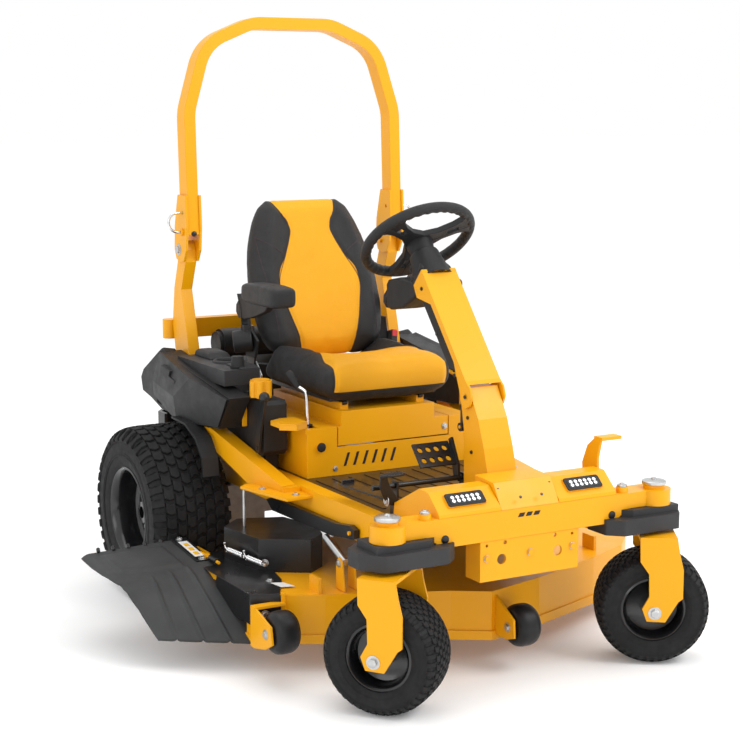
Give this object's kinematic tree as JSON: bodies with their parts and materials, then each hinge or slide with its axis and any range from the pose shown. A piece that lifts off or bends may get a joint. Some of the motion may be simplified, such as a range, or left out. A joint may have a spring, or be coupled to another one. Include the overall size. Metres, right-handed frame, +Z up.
{
  "type": "riding lawn mower",
  "caption": "Steering-wheel zero-turn riding mower with a high-back seat, folding roll bar, side-discharge deck under the frame and steered front casters.",
  "frame": {"origin": "on the ground under the middle of the bounding box", "axes": "+X to the operator's left, +Y to the rear, +Z up"},
  "size_m": [1.6883, 2.0368, 1.9292],
  "materials": {
    "yellow_paint": "satin powder coat",
    "black_paint": "satin powder coat",
    "black_plastic": "fine grain moulded",
    "yellow_plastic": "moulded",
    "engine_metal": "black painted castings",
    "cast_aluminium": "as cast",
    "tyre": "turf tread",
    "zinc": "zinc plated",
    "chrome": "bright",
    "strut_metal": "black tube, bright stem",
    "blade_steel": "ground edge",
    "seat_vinyl": "black and yellow stitched vinyl over foam"
  },
  "bodies": {
    "chassis": {"front_beam": "yellow_paint", "rail_right": "yellow_paint", "rail_left": "yellow_paint", "tow_plate": "yellow_paint", "floor_pan": "black_paint", "seat_box": "yellow_paint", "cowl_middle": "yellow_paint", "cowl_right": "yellow_paint", "cowl_left": "yellow_paint", "column_base": "yellow_paint", "fender_right": "black_plastic", "fender_left": "black_plastic", "fender_deck_right": "yellow_paint", "fender_deck_left": "yellow_paint", "strut_right": "yellow_paint", "strut_left": "yellow_paint", "roll_bar_post_right": "yellow_paint", "roll_bar_post_left": "yellow_paint", "rear_crossbar": "yellow_paint", "rear_bumper": "black_paint", "engine": "engine_metal", "air_cleaner": "black_plastic", "fuel_tank": "black_plastic", "transaxles": "cast_aluminium", "console": "black_plastic", "gear_cover_right": "black_plastic", "gear_cover_left": "black_plastic"},
    "roll_bar": {"roll_bar_hoop": "yellow_paint"},
    "right_pin": {"lock_pin_right": "zinc"},
    "left_pin": {"lock_pin_left": "zinc"},
    "column": {"steering_column": "yellow_paint"},
    "wheel_at_helm": {"steering_wheel": "black_plastic"},
    "tilt_strut": {"gas_strut": "strut_metal"},
    "right_fork": {"fork_right": "yellow_paint"},
    "left_fork": {"fork_left": "yellow_paint"},
    "right_caster": {"front_wheel_right": "tyre"},
    "left_caster": {"front_wheel_left": "tyre"},
    "right_drive_wheel": {"rear_wheel_right": "tyre"},
    "left_drive_wheel": {"rear_wheel_left": "tyre"},
    "deck": {"deck_shell": "yellow_paint", "belt_cover": "black_paint"},
    "right_blade": {"blade_right": "blade_steel"},
    "middle_blade": {"blade_middle": "blade_steel"},
    "left_blade": {"blade_left": "blade_steel"},
    "right_roller": {"scalp_roller_right": "black_plastic"},
    "front_roller": {"scalp_roller_front": "black_plastic"},
    "chute": {"discharge_chute": "black_plastic"},
    "deck_lift_arm": {"lift_arm": "black_paint"},
    "platform": {"seat_platform": "yellow_paint"},
    "cushion": {"seat_cushion": "seat_vinyl"},
    "back": {"seat_back": "seat_vinyl"},
    "right_armrest": {"armrest_right": "black_plastic"},
    "left_armrest": {"armrest_left": "black_plastic"},
    "brake": {"brake_pedal": "black_paint"},
    "drive": {"drive_pedal": "black_paint"},
    "lift": {"lift_pedal": "yellow_paint"},
    "park": {"park_lever": "black_paint"},
    "seat_lever": {"side_lever": "chrome"},
    "dial": {"height_dial": "yellow_plastic"},
    "knob": {"console_knob": "black_plastic"}
  },
  "joints": [
    {"name": "roll_bar_fold", "type": "hinge", "parent": "chassis", "child": "roll_bar", "pos_m": [0.111, 0.611, 1.15], "axis": [-1, 0, 0], "range_deg": [0, 115]},
    {"name": "right_pin_pull", "type": "slide", "parent": "roll_bar", "child": "right_pin", "axis": [-1, 0, 0], "range_m": [0, 0.06]},
    {"name": "left_pin_pull", "type": "slide", "parent": "roll_bar", "child": "left_pin", "axis": [1, 0, 0], "range_m": [0, 0.06]},
    {"name": "column_tilt", "type": "hinge", "parent": "chassis", "child": "column", "pos_m": [0.111, -0.628, 0.8], "axis": [1, 0, 0], "range_deg": [0, 15]},
    {"name": "steering", "type": "hinge", "parent": "column", "child": "wheel_at_helm", "pos_m": [0.111, -0.255, 1.227], "axis": [0, 0.6374, 0.7705], "range_deg": [-145, 30]},
    {"name": "right_fork_steer", "type": "hinge", "parent": "chassis", "child": "right_fork", "pos_m": [-0.344, -0.857, 0.394], "axis": [0, 0, 1], "range_deg": [-99.1, 20.6]},
    {"name": "left_fork_steer", "type": "hinge", "parent": "chassis", "child": "left_fork", "pos_m": [0.566, -0.857, 0.394], "axis": [0, 0, 1], "range_deg": [-145, 30]},
    {"name": "right_caster_roll", "type": "hinge", "parent": "right_fork", "child": "right_caster", "pos_m": [-0.344, -0.857, 0.167], "axis": [0.7705, 0.6374, 0], "continuous": true},
    {"name": "left_caster_roll", "type": "hinge", "parent": "left_fork", "child": "left_caster", "pos_m": [0.566, -0.857, 0.167], "axis": [0.5329, 0.8462, 0], "continuous": true},
    {"name": "right_drive_roll", "type": "hinge", "parent": "chassis", "child": "right_drive_wheel", "pos_m": [-0.446, 0.473, 0.29], "axis": [1, 0, 0], "continuous": true},
    {"name": "left_drive_roll", "type": "hinge", "parent": "chassis", "child": "left_drive_wheel", "pos_m": [0.668, 0.473, 0.29], "axis": [1, 0, 0], "continuous": true},
    {"name": "strut_swing", "type": "hinge", "parent": "chassis", "child": "tilt_strut", "pos_m": [0.081, -0.567, 0.7], "axis": [1, 0, 0], "range_deg": [0, 5.25]},
    {"name": "deck_height", "type": "slide", "parent": "chassis", "child": "deck", "axis": [0, 0, 1], "range_m": [-0.075, 0]},
    {"name": "right_blade_spin", "type": "hinge", "parent": "deck", "child": "right_blade", "pos_m": [-0.314, -0.167, 0.115], "axis": [0, 0, 1], "continuous": true},
    {"name": "middle_blade_spin", "type": "hinge", "parent": "deck", "child": "middle_blade", "pos_m": [0.141, -0.287, 0.115], "axis": [0, 0, 1], "continuous": true},
    {"name": "left_blade_spin", "type": "hinge", "parent": "deck", "child": "left_blade", "pos_m": [0.596, -0.167, 0.115], "axis": [0, 0, 1], "continuous": true},
    {"name": "right_roller_spin", "type": "hinge", "parent": "deck", "child": "right_roller", "pos_m": [-0.502, -0.533, 0.154], "axis": [1, 0, 0], "continuous": true},
    {"name": "front_roller_spin", "type": "hinge", "parent": "deck", "child": "front_roller", "pos_m": [0.161, -0.769, 0.138], "axis": [1, 0, 0], "continuous": true},
    {"name": "chute_lift", "type": "hinge", "parent": "deck", "child": "chute", "pos_m": [-0.501, 0.043, 0.252], "axis": [0, 1, 0], "range_deg": [0, 75]},
    {"name": "lift_arm_swing", "type": "hinge", "parent": "chassis", "child": "deck_lift_arm", "pos_m": [-0.264, -0.519, 0.411], "axis": [1, 0, 0], "range_deg": [-7.9, 0]},
    {"name": "seat_tilt", "type": "hinge", "parent": "chassis", "child": "platform", "pos_m": [0.111, -0.071, 0.604], "axis": [1, 0, 0], "range_deg": [0, 25]},
    {"name": "seat_slide", "type": "slide", "parent": "platform", "child": "cushion", "axis": [0, 1, 0], "range_m": [-0.05, 0.05]},
    {"name": "seat_back_recline", "type": "hinge", "parent": "cushion", "child": "back", "pos_m": [0.111, 0.398, 0.76], "axis": [1, 0, 0], "range_deg": [-15, 12]},
    {"name": "right_armrest_lift", "type": "hinge", "parent": "back", "child": "right_armrest", "pos_m": [-0.201, 0.398, 0.962], "axis": [-1, 0, 0], "range_deg": [0, 80]},
    {"name": "left_armrest_lift", "type": "hinge", "parent": "back", "child": "left_armrest", "pos_m": [0.423, 0.398, 0.962], "axis": [-1, 0, 0], "range_deg": [0, 80]},
    {"name": "brake_press", "type": "hinge", "parent": "chassis", "child": "brake", "pos_m": [-0.079, -0.579, 0.552], "axis": [1, 0, 0], "range_deg": [0, 20], "stiffness_Nm_per_rad": 3},
    {"name": "drive_rock", "type": "hinge", "parent": "chassis", "child": "drive", "pos_m": [-0.199, -0.62, 0.52], "axis": [1, 0, 0], "range_deg": [-7, 10], "stiffness_Nm_per_rad": 40, "springref_deg": 0.82},
    {"name": "lift_press", "type": "hinge", "parent": "chassis", "child": "lift", "pos_m": [0.422, -0.739, 0.56], "axis": [1, 0, 0], "range_deg": [-30.2, 0]},
    {"name": "park_set", "type": "hinge", "parent": "chassis", "child": "park", "pos_m": [-0.299, 0.035, 0.566], "axis": [1, 0, 0], "range_deg": [0, 25]},
    {"name": "seat_lever_move", "type": "hinge", "parent": "chassis", "child": "seat_lever", "pos_m": [-0.156, -0.033, 0.606], "axis": [1, 0, 0], "range_deg": [-12, 12]},
    {"name": "dial_turn", "type": "hinge", "parent": "chassis", "child": "dial", "pos_m": [-0.269, 0.073, 0.74], "axis": [0, 0, 1], "range_deg": [-150, 150]},
    {"name": "knob_turn", "type": "hinge", "parent": "chassis", "child": "knob", "pos_m": [-0.294, 0.191, 0.815], "axis": [0, 0, 1], "range_deg": [-60, 60]}
  ],
  "couplings": [
    {"joint": "right_fork_steer", "follows": "steering", "ratio": 0.683},
    {"joint": "left_fork_steer", "follows": "steering", "ratio": 1},
    {"joint": "strut_swing", "follows": "column_tilt", "ratio": 0.35},
    {"joint": "middle_blade_spin", "follows": "right_blade_spin", "ratio": 1},
    {"joint": "left_blade_spin", "follows": "right_blade_spin", "ratio": 1},
    {"joint": "lift_arm_swing", "follows": "deck_height", "rad_per_m": 1.8326},
    {"joint": "lift_press", "follows": "deck_height", "rad_per_m": 6.9813}
  ]
}
